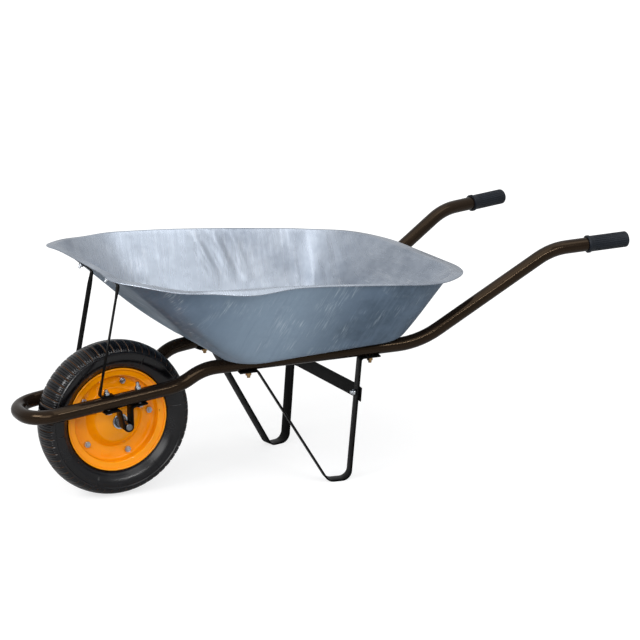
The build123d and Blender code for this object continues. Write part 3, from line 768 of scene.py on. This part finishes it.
# The points are the inside of the tray, so its faces are turned up and the thickness goes under them
edit_all(tray)
bpy.ops.mesh.flip_normals()
bpy.ops.object.mode_set(mode="OBJECT")
# Painted light and shade: the inside faces get the lit copy of the zinc, the outside faces the shaded copy
tray.data.materials.append(galvanised_inside_lit)
tray.data.materials.append(galvanised_outside_shaded)
apply_modifier(
    tray,
    "SOLIDIFY",
    thickness=SHEET * MM,
    offset=-1.0,
    material_offset=1,
    material_offset_rim=0,
)
smooth(tray, degrees=50)
put_on(tray, "frame", "galvanised_sheet", "tray")


# Tyre: half a section from the bead up to the crown, then back inside, as radius and half width
BEAD = [(104.0, 10.8), (102.3, 12.0), (102.2, 18.4), (104.0, 19.0), (117.1, 19.1), (119.6, 21.6)]
SIDEWALL = [
    (119.9, 24.6),
    (122.0, 26.6),
    (123.4, 28.6),
    (125.0, 29.4),
    (129.0, 33.0),
    (134.0, 36.7),
    (140.0, 39.6),
    (147.0, 41.3),
    (153.8, 40.9),
    (155.4, 42.2),
    (157.2, 42.0),
    (158.6, 40.0),
]
TREAD = [
    (161.5, 39.4),
    (164.5, 38.0),
    (167.2, 35.4),
    (169.6, 31.5),
    (171.8, 27.0),
    (173.8, 21.5),
    (175.2, 16.0),
    (176.3, 10.6),
    (177.1, 5.5),
    (177.5, 0.0),
]
LINER = [
    (167.5, 0.0),
    (166.6, 11.0),
    (162.5, 23.0),
    (155.0, 31.0),
    (147.0, 33.4),
    (138.0, 30.2),
    (129.0, 23.0),
    (121.0, 16.6),
    (112.0, 12.6),
]
# The tread repeats round the tyre: a wide cross groove, then two fine ones a third of the pitch apart.
# Steps and half widths are shares of the pitch.
LUGS = 58
LUG_PHASE = math.radians(1.2)
LUG_STEPS = (0.0, 0.06, 0.12, 0.21, 0.3, 0.333, 0.366, 0.5, 0.634, 0.667, 0.7, 0.79, 0.88, 0.94)
WIDE_GROOVE = 0.09
FINE_GROOVE = 0.03
GROOVE_DEPTH = 2.6
FINE_DEPTH_SHARE = 0.5
# Radii over which the grooves come in, and half widths over which they cut inwards from the side too
WIDE_GROOVE_IN = (159.5, 163.0)
FINE_GROOVE_IN = (162.5, 166.0)
SHOULDER = (30, 39)
SHOULDER_CUT_SHARE = 0.5
# Thin mould lines cross each sidewall
SEAMS = 6
SEAM_PHASE = math.radians(7)
SEAM_HEIGHT = 0.7
SEAM_START = 125.0
SEAM_END = 154.0
outer_half = BEAD + SIDEWALL + TREAD
outer_rings = 2 * len(outer_half) - 1
tyre_profile = [(radius, half, 1) for radius, half in outer_half]
tyre_profile += [(radius, -half, -1) for radius, half in reversed(outer_half[:-1])]
tyre_profile += [(radius, -half, -1) for radius, half in reversed(LINER[1:])]
tyre_profile += [(radius, half, 1) for radius, half in LINER]
tyre_columns = LUGS * len(LUG_STEPS)
column_turns = [LUG_PHASE + 2 * math.pi * (lug + step) / LUGS for lug in range(LUGS) for step in LUG_STEPS]
seam_columns = []
for index in range(SEAMS):
    seam_turn = SEAM_PHASE + 2 * math.pi * index / SEAMS
    misses = [abs(math.remainder(turn - seam_turn, 2 * math.pi)) for turn in column_turns]
    seam_columns.append(misses.index(min(misses)))
tyre_soil = []


def tyre_grooves(column, radius):
    """How deep the wide and the fine cross grooves cut at a point, each as a share from 0 to 1."""
    step = LUG_STEPS[column % len(LUG_STEPS)]
    off_wide = min(step, 1 - step)
    off_fine = min(abs(step - 1 / 3), abs(step - 2 / 3))
    wide = max(0.0, 1 - off_wide / WIDE_GROOVE) * smooth_step(*WIDE_GROOVE_IN, radius)
    fine = max(0.0, 1 - off_fine / FINE_GROOVE) * smooth_step(*FINE_GROOVE_IN, radius)
    return wide, fine


def tyre_point(column, ring):
    radius, half, side = tyre_profile[ring]
    turn = column_turns[column]
    soil = 0.0
    if ring < outer_rings:
        wide, fine = tyre_grooves(column, radius)
        soil = wide
        cut = GROOVE_DEPTH * (wide + FINE_DEPTH_SHARE * fine)
        if column in seam_columns and SEAM_START < radius < SEAM_END:
            half += SEAM_HEIGHT * side
        half -= SHOULDER_CUT_SHARE * cut * side * smooth_step(*SHOULDER, abs(half))
        radius -= cut
    tyre_soil.append(soil)
    return AXLE + Vector((radius * math.cos(turn), half, radius * math.sin(turn))) * MM


tyre = pressed_grid("tyre_casing", tyre_columns, len(tyre_profile), tyre_point, True)
groove_mark = tyre.data.attributes.new("groove", "FLOAT", "POINT")
groove_mark.data.foreach_set("value", tyre_soil)
merge_points(tyre)
turn_outwards(tyre)
tyre.data.materials.append(tyre_rubber)
smooth(tyre, degrees=38)
put_on(tyre, "wheel", "tyre_rubber", "tyre")


# Steel and rubber parts that keep their solids' shape, with the sharp edges broken
EDGE_ANGLE = 32
EDGE_STEPS = 2


def edge_broken(node, name, material, body, slot, width):
    piece = bpy.data.objects.new(name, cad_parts[node].data.copy())
    bpy.context.scene.collection.objects.link(piece)
    merge_points(piece, flatten=width > 0)
    if width > 0:
        apply_modifier(
            piece,
            "BEVEL",
            width=width * MM,
            segments=EDGE_STEPS,
            limit_method="ANGLE",
            angle_limit=math.radians(EDGE_ANGLE),
            use_clamp_overlap=False,
        )
    piece.data.materials.clear()
    piece.data.materials.append(material)
    smooth(piece, EDGE_ANGLE)
    return put_on(piece, body, slot, node)


# Each stay's straight run is twisted a little, with its outer edge ahead, and its ends lie flat. The places
# are the ends of the right stay's run, and the shares go from the lower one to the upper one.
STAY_TWIST = math.radians(13)
STAY_LOW = spot(-65.2, 74.06, 248.3)
STAY_HIGH = spot(-14.9, 74.06, 498.9)
STAY_CUTS = (0.04, 0.08, 0.12, 0.88, 0.92, 0.96)
TWIST_IN = (0.03, 0.12)
TWIST_FADE = (0.88, 0.97)


def twist_stay(piece, side):
    mirrored = Vector((1, side, 1))
    low = STAY_LOW * mirrored
    high = STAY_HIGH * mirrored
    run = high - low
    for share in STAY_CUTS:
        edit_all(piece)
        bpy.ops.mesh.bisect(plane_co=low.lerp(high, share), plane_no=run)
    bpy.ops.object.mode_set(mode="OBJECT")
    for point in piece.data.vertices:
        share = (point.co - low).dot(run) / run.length_squared
        twist = STAY_TWIST * side * smooth_step(*TWIST_IN, share) * (1 - smooth_step(*TWIST_FADE, share))
        point.co = low + Matrix.Rotation(twist, 3, run) @ (point.co - low)
    smooth(piece, EDGE_ANGLE)


for side in ("left", "right"):
    edge_broken(f"{side}_leg", f"{side}_leg_strip", black_paint, "frame", "black_paint", width=0.7)
    stay = edge_broken(f"{side}_stay", f"{side}_stay_strip", black_paint, "frame", "black_paint", width=0.5)
    twist_stay(stay, 1 if side == "right" else -1)
    edge_broken(f"{side}_axle_bracket", f"{side}_axle_strap", black_paint, "frame", "black_paint", width=0.6)
    edge_broken(f"{side}_grip", f"{side}_grip_sleeve", grip_rubber, "frame", "grip_rubber", width=0.35)
    edge_broken(f"{side}_rim_half", f"{side}_rim_pressing", orange_paint, "wheel", "rim_paint", width=0.4)
# The tube is only smoothed, because its ends are inside the grips
edge_broken("frame_tube", "bent_frame_tube", bronze_paint, "frame", "frame_paint", width=0.0)
edge_broken("cross_bar", "cross_bar_strip", black_paint, "frame", "black_paint", width=0.6)
for node in ("bracket", "stay", "tray", "cross_bar"):
    plating = yellow_zinc if node == "tray" else zinc_plate
    edge_broken(f"{node}_bolts", f"{node}_bolt_set", plating, "frame", "zinc_plate", width=0.45)
    edge_broken(f"{node}_nuts", f"{node}_nut_set", plating, "frame", "zinc_plate", width=0.6)
edge_broken("rim_bolts", "rim_bolt_set", zinc_plate, "wheel", "zinc_plate", width=0.45)
edge_broken("rim_nuts", "rim_nut_set", zinc_plate, "wheel", "zinc_plate", width=0.6)

# The rim's edge is rolled to a round lip on each side: a small circle spun round the axle
LIP_RADIUS = 116.6
LIP_ROUND = 2.2
LIP_HALF_WIDTH = 25.2
LIP_SIDES = 14
LIP_STEPS = 180


def rolled_lip(name, half_width):
    middle = AXLE + Vector((0, half_width * MM, 0))
    select_only(None)
    bpy.ops.mesh.primitive_circle_add(
        vertices=LIP_SIDES,
        radius=LIP_ROUND * MM,
        location=middle + Vector((LIP_RADIUS * MM, 0, 0)),
    )
    lip = bpy.context.object
    lip.name = name
    bpy.ops.object.transform_apply(location=True, rotation=True, scale=True)
    edit_all(lip)
    bpy.ops.mesh.spin(steps=LIP_STEPS, angle=2 * math.pi, center=middle, axis=(0, 1, 0))
    merge_points(lip)
    turn_outwards(lip)
    lip.data.materials.append(orange_paint)
    smooth(lip, degrees=60)
    put_on(lip, "wheel", "rim_paint")


rolled_lip("left_rim_lip", -LIP_HALF_WIDTH)
rolled_lip("right_rim_lip", LIP_HALF_WIDTH)

# Round and hidden parts keep the solids themselves, with their finish
PLAIN_FINISHES = {
    "axle": axle_steel,
    "tray_washers": yellow_zinc,
    "bearing_outer_races": ground_steel,
    "bearing_inner_races": ground_steel,
    "bearing_balls": ground_steel,
    "bearing_cages": turned_brass,
    "bearing_shields": shield_steel,
    "bearing_spacer": zinc_plate,
    "left_axle_spacer": zinc_plate,
    "right_axle_spacer": zinc_plate,
    "inner_tube": tube_rubber,
    "valve_stem": turned_brass,
    "valve_cap": cap_plastic,
}
for node, finish in PLAIN_FINISHES.items():
    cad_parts[node].data.materials.clear()
    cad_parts[node].data.materials.append(finish)


# Studio floor and lamps, in metres
FLOOR_SIZE = 60
# The camera sees white paper, which glows partly near the object, so that its shadow stays, and fully far
# from it. What the object mirrors and what lights it from below is grey paper.
GLOW_START = 0.7
GLOW_END = 2.2
select_only(None)
bpy.ops.mesh.primitive_plane_add(size=FLOOR_SIZE)
floor = bpy.context.object
floor.name = "studio_floor"
floor_paper, paper_tree, paper_place = new_material("white_studio_paper")
paper_tone = add(
    paper_tree,
    "ShaderNodeTexNoise",
    {"Vector": paper_place, "Scale": marks(333), "Detail": 2.0},
)
paper_colour = add(
    paper_tree,
    "ShaderNodeMix",
    {FACTOR: paper_tone.outputs[0], FIRST: hex_colour("#F2F2F2"), SECOND: hex_colour("#F6F6F6")},
    data_type="RGBA",
)
paper = add(paper_tree, "ShaderNodeBsdfDiffuse", {"Color": paper_colour.outputs[MIXED]})
bounce_paper = add(paper_tree, "ShaderNodeBsdfDiffuse", {"Color": hex_colour("#B8B8B8")})
paper_glow = add(paper_tree, "ShaderNodeEmission", {"Color": hex_colour("#FFFFFF"), "Strength": 1.2})
distance = add(paper_tree, "ShaderNodeVectorMath", {0: paper_place}, operation="LENGTH")
glow_share = add(
    paper_tree,
    "ShaderNodeMapRange",
    {
        "Value": distance.outputs["Value"],
        "From Min": GLOW_START,
        "From Max": GLOW_END,
        "To Min": 0.6,
        "To Max": 1.0,
    },
    interpolation_type="SMOOTHSTEP",
)
white_paper = add(
    paper_tree,
    "ShaderNodeMixShader",
    {0: glow_share.outputs[0], 1: paper.outputs[0], 2: paper_glow.outputs[0]},
)
ray = add(paper_tree, "ShaderNodeLightPath", {})
shown_paper = add(
    paper_tree,
    "ShaderNodeMixShader",
    {0: ray.outputs["Is Camera Ray"], 1: bounce_paper.outputs[0], 2: white_paper.outputs[0]},
)
finish_material(paper_tree, shown_paper)
floor.data.materials.append(floor_paper)

# Studio light: dim at eye level, pale overhead, and brighter behind the object, where a pale backdrop stands
world = bpy.data.worlds.new("studio")
bpy.context.scene.world = world
world.use_nodes = True
studio = world.node_tree
studio.nodes.clear()
looking = add(studio, "ShaderNodeTexCoord", {}).outputs["Generated"]
direction = add(studio, "ShaderNodeSeparateXYZ", {"Vector": looking})
overhead_share = add(
    studio,
    "ShaderNodeMapRange",
    {"Value": direction.outputs["Z"], "From Min": -0.1, "From Max": 0.9},
)
walls = add(
    studio,
    "ShaderNodeMix",
    {FACTOR: overhead_share.outputs[0], FIRST: hex_colour("#AEB0B4"), SECOND: hex_colour("#E7E7E7")},
    data_type="RGBA",
)
behind_share = add(
    studio,
    "ShaderNodeMapRange",
    {"Value": direction.outputs["Y"], "From Min": 0.2, "From Max": 0.8, "To Min": 0.0, "To Max": 0.4},
)
walls_and_backdrop = add(
    studio,
    "ShaderNodeMix",
    {FACTOR: behind_share.outputs[0], FIRST: walls.outputs[MIXED], SECOND: hex_colour("#E7E7E7")},
    data_type="RGBA",
)
studio_light = add(
    studio,
    "ShaderNodeBackground",
    {"Color": walls_and_backdrop.outputs[MIXED], "Strength": 0.9},
)
add(studio, "ShaderNodeOutputWorld", {"Surface": studio_light.outputs[0]})


def soft_lamp(name, where, aim, width, height, power):
    """A white softbox. Its places and sizes are in metres and its power in watts."""
    lamp = bpy.data.lights.new(name, "AREA")
    lamp.shape = "RECTANGLE"
    lamp.size = width
    lamp.size_y = height
    lamp.energy = power
    holder = bpy.data.objects.new(name, lamp)
    holder.location = where
    holder.rotation_euler = (Vector(aim) - Vector(where)).to_track_quat("-Z", "Y").to_euler()
    bpy.context.scene.collection.objects.link(holder)


soft_lamp("overhead_softbox", (-0.2, -1.7, 2.9), (0, 0, 0.3), width=1.2, height=2.0, power=12)
soft_lamp("far_wall_softbox", (1.34, -1.24, 2.82), (-0.1, 0.3, 0.42), width=1.1, height=1.1, power=6.5)
soft_lamp("tube_strip", (0.3, -3.3, 2.15), (0.1, -0.2, 0.4), width=1.6, height=0.16, power=24)
soft_lamp("top_softbox", (0.3, -0.1, 3.1), (-0.2, 0, 0.3), width=2.0, height=2.0, power=10)
soft_lamp("left_softbox", (-2.88, -0.8, 2.13), (-0.4, 0, 0.2), width=1.3, height=1.0, power=45)
soft_lamp("camera_side_fill", (-3.2, -3.6, 2.6), (-0.2, 0, 0.3), width=3.0, height=2.2, power=75)

# Camera at the photograph's place and angle
CAMERA_DOWN = 14.53
CAMERA_TURN = -27.44
camera_data = bpy.data.cameras.new("photo_camera")
camera = bpy.data.objects.new("photo_camera", camera_data)
bpy.context.scene.collection.objects.link(camera)
camera.location = spot(-1954.0, -4678.0, 1742.0)
camera.rotation_euler = (math.radians(90 - CAMERA_DOWN), 0, math.radians(CAMERA_TURN))
camera_data.sensor_width = 36.0
camera_data.lens = 132.6
camera_data.shift_x = 0.029
camera_data.shift_y = -0.0213
camera_data.clip_end = 100
bpy.context.scene.camera = camera
bpy.context.scene.view_settings.view_transform = "Standard"
